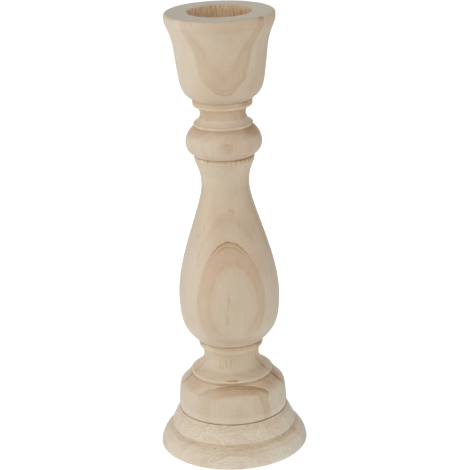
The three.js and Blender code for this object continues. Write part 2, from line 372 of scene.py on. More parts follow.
# The drill tears the bore's wall into upright strips with finer tufts, always into the wood
tearValues = {
    "depth": 0.5,
    "strips": (0.9, 0.07),  # noise scale per mm across and up
    "tufts": (2.4, 0.25),
    "tuftSalt": 40,
    "mean": 0.25,  # share of the depth that is torn on average
    "tuftShare": 0.55,
    "near": 0.25,  # points this near to the wall's radius are on it
    "skipTop": 0.1,
    "skipFloor": 0.4,
    "topShare": 0.35,  # shallower at the mouth
    "deepensOver": 2,
    "paintMargin": 0.1,  # the torn wood's material covers the faces within these
    "paintSkip": 0.3,
}


def tearBore(shape, radius, boreDepth, v):
    top = max(vert.co.z for vert in shape.verts) / mm
    wall = []
    for vert in shape.verts:
        x, y, z = vert.co / mm
        below = top - z
        onWall = abs(math.hypot(x, y) - radius) < v["near"]
        if onWall and v["skipTop"] < below < boreDepth - v["skipFloor"]:
            wall.append((vert, x, y, z, below))
    for vert, x, y, z, below in wall:
        across, up = v["strips"]
        strips = noise.noise((x * across, y * across, z * up))
        across, up = v["tufts"]
        tufts = noise.noise((x * across, y * across, z * up + v["tuftSalt"]))
        depth = max(0, v["mean"] + strips + v["tuftShare"] * tufts) * v["depth"]
        vert.co.xy *= 1 + depth * min(1, v["topShare"] + below / v["deepensOver"]) / radius
    for face in shape.faces:
        middle = face.calc_center_median() / mm
        inBore = math.hypot(middle.x, middle.y) < radius + v["depth"] + v["paintMargin"]
        if inBore and v["paintSkip"] < top - middle.z < boreDepth - v["paintSkip"]:
            face.material_index = 1


# A splinter lost from the ring under the belly, where the photograph shows one
chipValues = {
    "place": (6.9, -19.9, 71.9),
    "radius": 1.5,
    "depth": 0.5,
}


def chipRing(shape, v):
    fromAxis = math.hypot(*v["place"][:2])
    for vert in shape.verts:
        offset = (vert.co / mm - Vector(v["place"])) / v["radius"]
        if offset.length < 1:
            vert.co.xy *= 1 - v["depth"] * (1 - offset.length_squared) / fromAxis


stem = turnedBody(stemOutline(stemValues), stemValues["steps"])
tearBore(stem, stemValues["boreRadius"], stemValues["boreDepth"], tearValues)
chipRing(stem, chipValues)

# Base: two-tier disc with the stem's socket above and the screw's recess below
baseValues = {
    "height": 26,
    "topRadius": 35.75,
    "upperTierHeight": 11.9,
    "upperTierSpread": 5.35,
    "upperTierBulge": 0.1,
    "tierGroove": 1.1,
    "tierStep": 0.6,
    "ledgeHeight": 2.4,  # the lower tier rolls over into the groove
    "ledgeWidth": 1.8,
    "lowerTierHeight": 10.6,
    "lowerTierSpread": 6.8,
    "lowerTierBulge": 1.1,
    "footRound": 0.3,
    "lowerTierSteps": 18,
    "upperTierSteps": 14,
    "ledgeCurve": (-42, 0.5, -86, 0.12, 0.3),
    "grooveDepth": 0.8,
    "jointGap": 0.5,  # the dark line all round under the drum
    "jointDepth": 0.85,
    "socketRadius": 9.3,
    "socketDepth": 8.5,
    "screwHole": 2.8,
    "recessRadius": 5.95,
    "recessDepth": 6,
    "recessEdge": 0.3,
    "edges": {"foot": 0.1, "side": 0.15, "tier": 0.4},
    "steps": 240,
}


def baseOutline(v):
    edges = v["edges"]
    upperFoot = v["topRadius"] + v["upperTierSpread"]
    lowerTop = upperFoot + v["tierStep"]
    line = [(v["recessRadius"], v["recessEdge"], 0)]
    run(line, v["recessRadius"] + v["recessEdge"], -v["recessEdge"])
    run(line, lowerTop + v["lowerTierSpread"] - v["footRound"], 0, edges["foot"])
    run(line, lowerTop + v["lowerTierSpread"], v["footRound"], edges["side"])
    bow(line, lowerTop + v["ledgeWidth"], v["lowerTierHeight"] - v["footRound"], v["lowerTierBulge"],
        v["lowerTierSteps"])
    sweep(line, upperFoot - v["grooveDepth"], v["ledgeHeight"], v["ledgeCurve"])
    run(line, upperFoot, v["tierGroove"], edges["tier"])
    bow(line, v["topRadius"], v["upperTierHeight"] - v["jointGap"], v["upperTierBulge"],
        v["upperTierSteps"], edges["side"])
    run(line, v["topRadius"] - v["jointDepth"])
    run(line, v["topRadius"] - v["jointDepth"], v["jointGap"])
    run(line, v["socketRadius"])
    run(line, v["socketRadius"], -v["socketDepth"])
    run(line, v["screwHole"])
    run(line, v["screwHole"], v["recessDepth"] + v["socketDepth"] - v["height"])
    run(line, v["recessRadius"])
    return line


base = turnedBody(baseOutline(baseValues), baseValues["steps"], closed=True)

# Screw: spun head with a cross recess, shaft with a cut thread, tip up in the pilot hole
screwValues = {
    "seat": 6,
    "length": 45,
    "head": 4.75,
    "headTop": 2.95,
    "headHeight": 3.2,
    "headRim": 1,
    "headEdge": 0.15,
    "rimEdge": 0.3,
    "topEdge": 0.5,
    "shank": 13,
    "shankRadius": 2.25,
    "shankTaper": 0.6,
    "core": 1.65,
    "thread": 2.5,
    "threadRoot": 0.4,  # how far the thread's foot is sunk in the core
    "threadFoot": 0.55,
    "pitch": 2.6,
    "point": 6,
    "tip": 0.25,
    "tipHeight": 0.5,
    "crossSpan": 4.6,
    "crossWidth": 1,
    "crossDepth": 1.9,
    "sharpAngle": 1,  # radians
    "steps": 48,
}


def screwShape(v):
    line = [(0, v["seat"] + v["length"], 0)]
    run(line, v["tip"], -v["tipHeight"])
    run(line, v["core"], v["tipHeight"] - v["point"])
    run(line, v["core"], v["point"] + v["shank"] - v["length"])
    run(line, v["shankRadius"], -v["shankTaper"])
    run(line, v["shankRadius"], v["shankTaper"] - v["shank"])
    run(line, v["head"], 0, v["headEdge"])
    run(line, v["head"], -v["headRim"], v["rimEdge"])
    run(line, v["headTop"], v["headRim"] - v["headHeight"], v["topEdge"])
    run(line, 0)
    body = turnedBody(line, v["steps"])
    # the thread's section is carried round and down the shaft by a spin that also drops
    root, foot, first = v["core"] - v["threadRoot"], v["threadFoot"], v["seat"] + v["length"] - v["point"]
    ridge = [body.verts.new((radius * mm, 0, (first + height) * mm))
             for radius, height in ((root, foot), (v["thread"], 0), (root, -foot))]
    section = body.faces.new(ridge)
    turns = int((v["length"] - v["point"] - v["shank"]) / v["pitch"])
    count = turns * v["steps"] // 2
    bmesh.ops.spin(body, geom=[section], cent=(0, 0, 0), axis=(0, 0, 1), angle=-2 * math.pi * turns,
                   dvec=(0, 0, -v["pitch"] * 2 / v["steps"] * mm), steps=count, use_merge=False)
    return body


# Cuts the head's flat face along the cross and pushes that part in
def cutCross(body, v):
    level = v["seat"] - v["headHeight"]
    span, width = v["crossSpan"] / 2, v["crossWidth"] / 2

    def flatFaces():
        body.normal_update()
        down = [face for face in body.faces if face.normal.z < -0.99]
        return [face for face in down if abs(face.calc_center_median().z / mm - level) < 0.01]

    for axis in ((1, 0, 0), (0, 1, 0)):
        for place in (-span, -width, width, span):
            flat = flatFaces()
            around = dict.fromkeys(part for face in flat for part in (*face.edges, *face.verts))
            bmesh.ops.bisect_plane(body, geom=[*flat, *around], dist=1e-7,
                                   plane_co=Vector(axis) * place * mm, plane_no=axis)
    inner = []
    for face in flatFaces():
        middle = face.calc_center_median() / mm
        near, far = sorted((abs(middle.x), abs(middle.y)))
        if near < width and far < span:
            inner.append(face)
    pushed = bmesh.ops.extrude_face_region(body, geom=inner)["geom"]
    pushed = [part for part in pushed if isinstance(part, bmesh.types.BMVert)]
    bmesh.ops.delete(body, geom=[face for face in inner if face.is_valid], context="FACES")
    bmesh.ops.translate(body, vec=(0, 0, v["crossDepth"] * mm), verts=pushed)
    for edge in body.edges:
        if edge.is_manifold and edge.calc_face_angle() > v["sharpAngle"]:
            edge.smooth = False


screw = screwShape(screwValues)
cutCross(screw, screwValues)
print("turned pieces made")

# Poplar, turned and sanded but not sealed: pale and matt, growth rings seen as ovals where the
# turning cuts them, straight fibres along the axis, and thirsty end grain that looks greyer.
# Fibres are 0.03 mm wide, pores 0.1 mm and the tool's ridges 0.3 mm apart. All are too fine for
# the picture, so they are drawn coarser, at the widths below, as the bundles that the eye makes out
stemWood = {
    "tones": [(0, "#eae3d2"), (0.5, "#d3c1a8"), (0.7, "#c6ab8b"), (1, "#9b7954")],  # 0.5 is the mean colour
    "blush": "#d2ab93",
    "blushShade": 0.16,
    # warm burnish on the lips, partly a painted highlight on their lit edges
    "burnishAndHighlight": "#f3d4ae",
    # painted sheen: paler and greyer toward the left, where the light falls
    "paintedSheen": "#ebe6de",
    "paintedSheenShare": 0.34,
    "endGrain": "#beb19b",
    "fibreAxis": 2,
    "grainRoughness": 0.6,
    "fibreWidth": 1.3,  # mm
    "fibreLength": 22,
    "fibreShade": 0.15,
    "poreWidth": 0.5,
    "poreLength": 7,
    "poreShade": 0.1,
    "cloudWidth": 9,
    "cloudLength": 30,
    "cloudShade": 0.2,
    "fleckWidth": 0.9,
    "fleckLength": 10,
    "fleckLevels": (0.72, 0.8),
    "fleckShade": 0.14,
    "blushWidth": 11,
    "blushLength": 16,
    "blushLevels": (0.42, 0.7),
    "turningPitch": 0.9,
    "turningShade": 0.07,
    "paintedShadeAcross": (-20, 22, 0.8, 1.2),  # the painted shade and light by height show less on the left, where the light falls straight on
    "spotCore": 0.45,
    "markBreaks": (0.3, 0.7, 0.5, 1.3),  # the fibres break marks up
    "paintedSheenAcross": (-6, -34),
    "paintedSheenHeights": (50, 180, 0.45, 1),
    "endFacing": (0.85, 1),
    "endLevels": (0.2, 0.9),
    "endShades": (1.1, 0.84),
    "roughness": 0.62,
    "specular": 0.4,
    "fuzz": 0.1,
    "fuzzRoughness": 0.4,
    "bumpDepth": 0.06,
    "bumpStrength": 0.5,
}

# Growth rings across the front of the stem: depth towards the viewer in millimetres, and shade.
# The bands are soft, and two thin late-wood lines stand on them, strong only at some heights.
# A span says from where to where along x or z a value eases, and its two values if not 0 and 1
stemRings = {
    "bands": [
        (16, 0.45), (17.6, 0.47), (18.2, 0.505), (19.5, 0.505), (20.3, 0.46), (22.8, 0.45), (23.5, 0.47),
        (24, 0.63), (25, 0.62), (27.2, 0.61), (28, 0.63), (28.9, 0.5), (30.2, 0.45), (32.5, 0.45),
        (33.6, 0.51), (36, 0.53)],
    "bandsFrom": (16, 17.4),  # plainer rings behind this depth
    "lines": [(23.5, 0), (23.75, 0.34), (24.15, 0.02), (24.5, 0), (24.7, 0.2), (25, 0)],
    "lineHeights": [
        (40, 0), (43, 1), (46, 1), (50, 1), (53, 0.3), (70, 0.4), (78, 0.7), (84, 0.12), (122, 0.12),
        (134, 0.5), (142, 1), (152, 0.8), (170, 0.2), (204, 0.1), (209, 0.2), (212, 0.5), (216, 0.1),
        (240, 0.35), (255, 0.3), (290, 0.2)],
    "waver": 1.2,
    "waverGrain": (16, 60, 2),
    "feather": 1.2,  # how far the fibres carry a soft edge up and down
    "lineFeather": 0.4,
    "featherGrain": (1.3, 14, 2, 5),
    "tilt": ("z", 120, 200, 0.015, 0.065),
    "bend": [("z", 80, 58, 0.001, 0.0085), ("z", 38, 47)],
    "shifts": [(115, 70, -2.8), (75, 46, -1.3), (45, 37, 1), (213, 205, -0.6), (205, 200, 0.6),
               (253, 246, -1.8), (243, 235, 1.8)],  # heights between which the rings move this far
    "leftOfBelly": [("x", 0, -24, 0, -1.5), ("z", 85, 95), ("z", 145, 120)],
    "rightOfCup": [("x", 4, 14, 0, -0.8), ("z", 240, 250)],
    "innerFrom": (24.5, 28),  # the nearest wood moves apart from the rest
    "cupMiddle": 2,
    "cupInner": (3, 12, -0.3, 0.7),
    "cupFrom": ("z", 225, 240),
    "drumInner": ("z", 46, 38, 0.3, 1.4),
    "neckInner": ("z", 225, 205, 0, 0.05),
    "contrastFrom": ("z", 62, 80),
    "contrastBelow": ("x", -14, 12, 0.8, 1.15),
    "contrastAbove": ("x", -6, 16, 1, 0.8),
    "contrasts": [("z", 40, 44, 0.95, 1.3), ("z", 52, 58, 1, 0.77), ("z", 236, 244, 1, 0.8)],
    "leftFrom": ("x", -2, -15),
    "leftFades": [(78, 0.35), (108, 0.35), (125, 0), (236, 0), (246, 0.5), (262, 0.4), (275, 0.1),
                  (290, 0)],
    "rightLifts": [("x", 0, 14, 0, 0.5), ("z", 235, 250)],
    "underBelly": [("z", 74, 78, 1, 0.6), ("z", 84, 92, 0, 0.4)],
    "middle": 0.49,
    "paler": [("x", 14, 34, 0, -0.18), ("z", 150, 110)],  # toward the right below the neck
    "backRing": [(2.6, 0), (5, 0.12), (6.2, 0.3), (6.8, 0.5), (7.4, 0), (12, 0)],
    "backHeights": [(40, 0.1), (43, 0.9), (49.5, 1), (51.5, 0.75), (58, 0.6), (66, 0.12), (282, 0.1),
                    (290, 0.4)],
    "backTilt": -0.04,
    "backFeather": 0.8,
    "backShifts": [(42, 50, -1.7), (50, 58, 0.9), (56, 66, -0.6), (66, 78, 1.2)],
    "backWeaker": [("x", 12, -12, 0, 0.55), ("z", 49, 53)],  # at the left of the cove
    "yearWidth": 5,
    "yearStart": 6.9,
    "yearShades": [(0, 0.68), (0.06, 0.58), (0.3, 0.52), (0.6, 0.48), (0.96, 0.46), (1, 0.52)],
    "yearStrengths": (0.2, 0.6),
    "yearFades": (9, 13, 1, 0.5),
}


def stemFigure(tree, place, grain):
    v = stemRings
    x, y, z = addNode(tree, "SeparateXYZ", None, {0: place}).outputs

    def calc(*parts):
        return compute(tree, *parts)

    def span(axis, *places):
        return ease(tree, {"x": x, "z": z}[axis], *places)

    def product(spans, result=1):
        for values in spans:
            result = calc("MULTIPLY", result, span(*values))
        return result

    # depth of the growth rings, bent and shifted as the tree grew
    towardViewer = calc("MULTIPLY", y, -1)
    depth = calc("MULTIPLY_ADD", span(*v["tilt"]), x, towardViewer)
    depth = calc("MULTIPLY_ADD", product(v["bend"]), calc("MULTIPLY", x, x), depth)
    for low, high, shift in v["shifts"]:
        depth = calc("ADD", depth, ease(tree, z, low, high, 0, shift))
    depth = calc("SUBTRACT", depth, v["waver"] / 2)
    depth = calc("MULTIPLY_ADD", grain(*v["waverGrain"]), v["waver"], depth)
    # the light heartward side is nearer at the left of the belly, lower on the cup and wide on the drum
    depth = calc("ADD", depth, product(v["leftOfBelly"]))
    depth = calc("ADD", depth, product(v["rightOfCup"]))
    side = calc("ABSOLUTE", calc("SUBTRACT", x, v["cupMiddle"]))
    moves = calc("MULTIPLY", ease(tree, side, *v["cupInner"]), span(*v["cupFrom"]))
    moves = calc("ADD", moves, span(*v["drumInner"]))
    moves = calc("MULTIPLY_ADD", x, span(*v["neckInner"]), moves)
    feather = calc("SUBTRACT", grain(*v["featherGrain"]), 0.5)
    soft = calc("MULTIPLY_ADD", feather, v["feather"], depth)
    soft = calc("MULTIPLY_ADD", ease(tree, depth, *v["innerFrom"]), moves, soft)
    lines = lookUp(tree, calc("MULTIPLY_ADD", feather, v["lineFeather"], depth), v["lines"])
    lines = calc("MULTIPLY", lines, lookUp(tree, z, v["lineHeights"]))

    # one dark ring behind the middle
    back = calc("MULTIPLY_ADD", x, v["backTilt"], towardViewer)
    back = calc("MULTIPLY_ADD", feather, v["backFeather"], back)
    for low, high, shift in v["backShifts"]:
        back = calc("ADD", back, ease(tree, z, low, high, 0, shift))
    backLine = calc("MULTIPLY", lookUp(tree, back, v["backRing"]), lookUp(tree, z, v["backHeights"]))
    backLine = calc("MULTIPLY", backLine, calc("SUBTRACT", 1, product(v["backWeaker"])))

    # plainer yearly rings through the rest of the blank, each with a strength of its own
    count = calc("DIVIDE", calc("SUBTRACT", v["yearStart"], back), v["yearWidth"])
    strength = addNode(tree, "TexWhiteNoise", {"noise_dimensions": "1D"}, {"W": calc("FLOOR", count)})
    least, most = v["yearStrengths"]
    strength = addNode(tree, "MapRange", None,
                       {"Value": strength.outputs["Value"], "To Min": least, "To Max": most})
    strength = calc("MULTIPLY", strength, ease(tree, back, *v["yearFades"]))
    plain = addNode(tree, "ValToRGB", {"stops": v["yearShades"]}, {"Fac": calc("FRACT", count)})
    plain = addNode(tree, "Mix", None, {0: strength, 2: v["middle"], 3: plain})
    bands = lookUp(tree, soft, v["bands"])
    shade = addNode(tree, "Mix", None, {0: ease(tree, soft, *v["bandsFrom"]), 2: plain, 3: bands})

    # how strongly the figure shows at each height and side
    below, above = span(*v["contrastBelow"]), span(*v["contrastAbove"])
    contrast = addNode(tree, "Mix", None, {0: span(*v["contrastFrom"]), 2: below, 3: above})
    contrast = product(v["contrasts"], contrast)
    faded = calc("MULTIPLY", span(*v["leftFrom"]), lookUp(tree, z, v["leftFades"]))
    sides = calc("SUBTRACT", calc("ADD", product(v["rightLifts"]), 1), faded)
    contrast = calc("MULTIPLY", contrast, sides)
    contrast = calc("MULTIPLY", contrast, calc("ADD", *[span(*values) for values in v["underBelly"]]))
    shade = addNode(tree, "Mix", {"clamp_factor": False}, {0: contrast, 2: v["middle"], 3: shade})
    shade = calc("ADD", shade, product(v["paler"]))
    return calc("ADD", calc("MULTIPLY_ADD", lines, contrast, shade), backLine)


# Growth rings of the base's plank, seen on edge: depth of each dark line
baseRings = {
    "lines": (-36, -23, -9.5, 4, 17.5, 32, 45.4),
    "ring": [(-4, 0.5), (-0.3, 0.54), (0, 0.6), (0.3, 0.45)],  # offset from the line, and shade
    "end": (50, 0.47),
    "waver": 1.6,
    "waverGrain": (16, 60, 2),
    "feather": 0.8,
    "featherGrain": (1.2, 9, 2, 5),
    "across": (-10, 42, 0, -0.11),  # paler to the right
}


def baseFigure(tree, place, grain):
    v = baseRings
    x, y, z = addNode(tree, "SeparateXYZ", None, {0: place}).outputs
    depth = compute(tree, "MULTIPLY_ADD", grain(*v["waverGrain"]), v["waver"], -v["waver"] / 2)
    depth = compute(tree, "SUBTRACT", depth, y)
    feather = compute(tree, "SUBTRACT", grain(*v["featherGrain"]), 0.5)
    depth = compute(tree, "MULTIPLY_ADD", feather, v["feather"], depth)
    stops = [(line + offset, shade) for line in v["lines"] for offset, shade in v["ring"]]
    return compute(tree, "ADD", lookUp(tree, depth, stops + [v["end"]]), ease(tree, x, *v["across"]))


# Shades by height, partly what tools and handling left and partly painted light and shade: brown in the
# quirks, with painted shade there, painted light on faces turned to the light or to the floor, such as the
# belly's underside, burnished warm and light on the lips with a painted highlight on their edges, and rougher
# fibres where the tool met them end on
stemQuirksAndPaintedLight = [
    [(26, -0.14), (29, -0.12), (31, 0), (44, 0), (45.5, 0.06), (47, 0.12), (48.2, 0.12), (49.4, 0.14),
     (50.4, 0.18), (50.9, 0), (51.8, -0.12), (52.2, 0), (53.2, 0.02), (54.4, 0.05), (55, 0.1), (55.6, 0.06),
     (56.6, 0), (57.7, -0.04), (60, 0)],
    [(60, 0), (65, -0.03), (67.2, 0), (68.4, -0.1), (69.8, -0.1), (70.6, -0.03), (71.4, 0.04), (72.4, 0.04),
     (73.2, 0.2), (73.8, 0.4), (74.2, 0.2), (74.6, -0.06), (75.5, -0.13), (77, -0.15), (78, -0.09),
     (79.2, -0.1), (82, -0.12), (84.5, -0.17), (88, -0.09), (94, 0)],
    [(193, 0), (196.3, -0.02), (197.4, -0.05), (197.8, 0.04), (198.2, 0.22), (198.6, 0.34), (199.2, 0.2),
     (199.8, -0.04), (201.5, -0.06), (205.6, 0)],
    [(211.5, 0), (212.3, 0.05), (213.5, 0.08), (216, 0.1), (216.9, 0.12), (217.8, 0.05), (218.4, 0.02),
     (219.8, -0.03), (220.4, -0.12), (223, -0.12), (223.7, 0.04), (228, 0.07), (229.6, 0.13), (230.8, 0.15),
     (231.2, 0), (232.5, 0), (232.9, 0.1), (233.6, 0), (234.3, 0.04), (234.8, 0.12), (235.3, 0.1),
     (236.1, 0.02), (238, 0)],
    [(94, 0), (125, 0.04), (150, 0.05), (178, 0.05), (185, -0.08), (194, -0.1), (196, 0), (282, 0),
     (284.5, 0.05), (289.5, 0.07)],
]
# burnish on the lips, partly a painted highlight on their lit edges and on the cove's flare above the small
# lip
stemLipsAndHighlights = [(50.9, 0), (51.3, 0.3), (51.9, 0.6), (52.1, 0), (67.7, 0), (68.4, 0.3), (69.3, 0.4), (70.7, 0.3),
            (71, 0.1), (72.8, 0.1), (73.2, 0), (195.8, 0), (196.4, 0.15), (197.8, 0.15), (198.2, 0),
            (218.1, 0), (218.5, 0.12), (219.5, 0.12), (219.9, 0.08), (223, 0.1), (223.4, 0), (230.9, 0),
            (231.2, 0.5), (232.5, 0.5), (232.8, 0)]
stemRough = [(26, 1.5), (41, 1.5), (50, 1), (52, 1), (54, 1.6), (68, 1.6), (70, 1), (135, 1), (150, 0.7),
             (190, 0.7), (196, 2.4), (202, 2), (206, 1.5), (212, 2), (220, 1.6), (221, 2.4), (231, 2.2),
             (232, 1), (240, 0.8)]
# on the base: painted light toward the foot, painted shade in the groove under the upper tier, and the dark
# joint under the drum
baseQuirksAndPaintedLight = [[(0, -0.2), (1.5, -0.2), (3, -0.14), (4.5, -0.09), (7.2, -0.07), (8.1, -0.05), (8.5, 0.05),
               (9.2, 0.03), (10, 0), (11.3, 0.12), (12.2, 0.17), (12.8, 0.06), (13.3, -0.05), (14.4, -0.05),
               (16, -0.06), (19.5, -0.07), (21.8, 0), (22.6, 0.07), (24.5, 0.07), (25.1, 0), (25.35, 0.3),
               (25.6, 0.5), (26.1, 0.5)]]
# burnish on the upper tier's lower edge, partly a painted highlight
baseLipsAndHighlights = [(14, 0), (14.4, 0.1), (15.4, 0)]
baseRough = [(12, 1.2), (14, 1.9), (26, 1.9)]

# Marks of this one piece: place, reach along x, y and z, and shade, all in millimetres.
# The fibres break the marks up, and the zones are wide and even. Some marks and zones are painted shade or
# painted light, noted beside them
stemMarks = [
    ((-0.3, -32, 111.5), (0.4, 6, 4.2), 0.35),  # streaks and flecks on the belly
    ((-1.2, -32.2, 103), (0.35, 6, 26), 0.2),
    ((-2.4, -32.3, 96), (0.9, 6, 14), 0.07),
    ((-14.2, -16.1, 154), (0.5, 4, 3), 0.14),
    ((-15.9, -18.6, 144.9), (0.6, 4, 2.6), 0.12),
    ((-18.6, -13.9, 148.7), (0.7, 4, 2.2), 0.12),
    ((16.5, -14.5, 152.3), (0.5, 4, 3.4), 0.12),
    ((14.7, -17.8, 148.8), (0.5, 4, 2.6), 0.12),
    ((7.7, -19, 156.9), (0.6, 4, 2.6), 0.08),
    ((3.2, -17.6, 165.4), (3.4, 5, 2.6), 0.1),  # swirl above it
    ((2.2, -17.6, 164.6), (2, 5, 1.2), -0.08),
    ((4.6, -17.6, 166.2), (1, 5, 2), 0.06),
    ((2.8, -23.7, 209.2), (7, 5, 3.6), 0.03),  # bead
    ((2, -23.4, 211), (6, 4, 0.6), 0.06),
    ((4, -18.6, 197.1), (0.8, 4, 1.2), 0.26),  # collar
    ((0.6, -19, 197.5), (0.6, 4, 1.2), 0.16),
    ((10.3, -16.2, 198), (0.9, 3, 2.4), 0.32),
    ((-10.5, -16, 197.8), (0.7, 4, 2.2), 0.2),
    ((7, -17.8, 197.3), (0.7, 4, 2), 0.22),
    ((12.9, -14.2, 197.8), (0.7, 4, 2.4), 0.3),
    ((15.2, -11.6, 197.6), (0.8, 4, 2.2), 0.3),
    ((18, -6.5, 197.5), (3, 6, 2.2), 0.25),
    ((9.4, -18.6, 201.6), (0.6, 4, 1.8), 0.14),  # foot of the bead
    ((12.6, -17, 201.8), (0.6, 4, 2), 0.16),
    ((-11.5, -17.8, 201.8), (0.6, 4, 2), 0.14),
    ((-14.2, -13, 197.7), (1.4, 4, 1.4), -0.25),
    ((6.9, -19.9, 71.9), (1.2, 4, 1), 0.22),  # chip
    ((-7.6, -16.3, 60), (0.5, 4, 5.4), 0.2),  # streaks in the cove
    ((-5.7, -17.2, 58.5), (0.45, 4, 3.4), 0.13),
    ((-3.8, -17.3, 61), (0.5, 4, 4.2), 0.16),
    ((-2.5, -17.7, 61.1), (0.4, 4, 4), 0.14),
    ((-0.6, -17.9, 61.5), (0.5, 4, 5), 0.18),
    ((0, -26.6, 52.4), (6.5, 3, 0.8), 0.4),  # above the lip
    ((25.3, -23.2, 289.4), (3, 3, 1.6), 0.18),  # rim
    ((17, -9, 199.3), (3, 4, 1.2), 0.2),
    ((-23, -7, 53.3), (4, 6, 1.6), 0.14),
    ((-19.2, -10.8, 73.2), (3.4, 6, 1.8), 0.35),  # dark brown ends of the quirk under the belly, partly painted shade in its recess
    ((18.3, -11.8, 73), (4, 7, 1.6), 0.32),
    ((5.1, -34.7, 34.5), (0.6, 4, 7), 0.12),
]
stemZonesAndPaintedLight = [
    ((0, -44, 34), (50, 34, 10), 0.03),  # drum
    ((20, -10, 58.5), (7, 9, 5), 0.1),  # right of the cove
    ((15, -14, 72), (9, 9, 3), 0.08),  # right of the ring under the belly
    ((18, -21, 250), (8, 9, 10), 0.06),  # right of the cup
    ((1.5, -23.8, 208.5), (12, 8, 5), 0.03),  # bead
    ((3, -21, 152), (20, 14, 15), 0.05),  # browner above the belly
    ((13.5, -13.5, 197.6), (9, 9, 2), 0.12),  # collar
    ((17, -8, 226), (8, 9, 6), 0.1),  # sides of the upper cove
    ((11, -10.5, 225.5), (6, 8, 6), 0.07),
    ((-11.5, -9.5, 225), (6, 8, 4), 0.07),
    ((-16, -6, 224), (4, 8, 6), 0.1),
    ((21, -8, 215.8), (14, 14, 4), 0.15),  # painted shade under the small lip, at the sides of the mouldings
    ((-22, -8, 215.6), (14, 14, 4), 0.12),
    # painted shade at the two ends of the cup's ring
    ((14.5, -12.5, 233.6), (7.5, 8, 2.4), 0.2),
    ((-16, -10, 233.4), (5, 8, 2.2), 0.12),
    ((19.2, -9, 71), (6, 7, 3), 0.2),
    ((-17, -12, 71.5), (9, 10, 3), -0.12),
    ((-22, -18, 82), (12, 12, 9), -0.1),  # painted light on the left under the belly
    ((-28, 0, 290), (14, 26, 3.5), 0.2),  # painted shade on the left of the rim's land, where the light falls strongly
    ((0, -27, 50.2), (15, 6, 1.3), 0.2),  # brown under the large lip, painted shade
    ((26, -15, 46.6), (15, 16, 5.6), 0.16),  # shoulder
    ((29.5, -5, 46.4), (10, 9, 6), 0.14),
    ((-27, -13, 46.6), (14, 14, 5.4), 0.1),
    ((31, -16, 36), (7, 15, 13), -0.12),  # drum
    ((1, -35, 33), (22, 12, 13), -0.07),
    ((-33, -10, 34), (12, 16, 13), -0.12),
]
baseZones = [
    ((-36, -24, 20), (15, 16, 7), 0.07),  # left and right of the upper tier
    ((27, -33, 20), (13, 13, 6), 0.07),
]
stemBlushes = [
    ((10, -21, 208), (15, 12, 9), 0.2),
    ((14, -30, 286), (24, 12, 5), 0.12),
    ((-15, -28.5, 112), (8, 9, 26), 0.18),
    ((-9, -28, 134), (9, 9, 13), 0.18),
    ((16, -25, 131), (7, 9, 14), 0.22),
]
baseMarks = [
    ((23, -34.3, 12.7), (6, 7, 1.3), 0.08),  # torn grain in the groove
    ((29.7, -29.4, 12.5), (6, 7, 1.5), 0.12),
    ((34.5, -24, 12.4), (5, 7, 1.8), 0.12),
    ((38.8, -17.2, 12), (4, 7, 2), 0.12),
    ((-35.9, -22.7, 11.9), (5, 8, 2.4), 0.1),
    ((-30.6, -29.3, 12.1), (5, 7, 1.7), 0.09),
    ((-25.3, -33.4, 12.4), (5, 6, 1.4), 0.06),
    ((35.6, -31.7, 3.3), (0.9, 4, 0.8), 0.3),  # speck and the spot beside it
    ((35.9, -30.6, 4.7), (1.4, 4, 1), -0.25),
    ((10.8, -45.3, 5.8), (0.5, 4, 2.6), 0.07),  # streaks at the foot
    ((11.9, -46.6, 1.6), (0.6, 4, 1.8), 0.14),
    ((6.7, -47.4, 2), (0.6, 4, 1.8), 0.12),
    ((4.1, -47.7, 2.3), (0.5, 4, 1.8), 0.1),
    ((14.5, -46, 2.2), (0.5, 4, 1.8), 0.1),
]


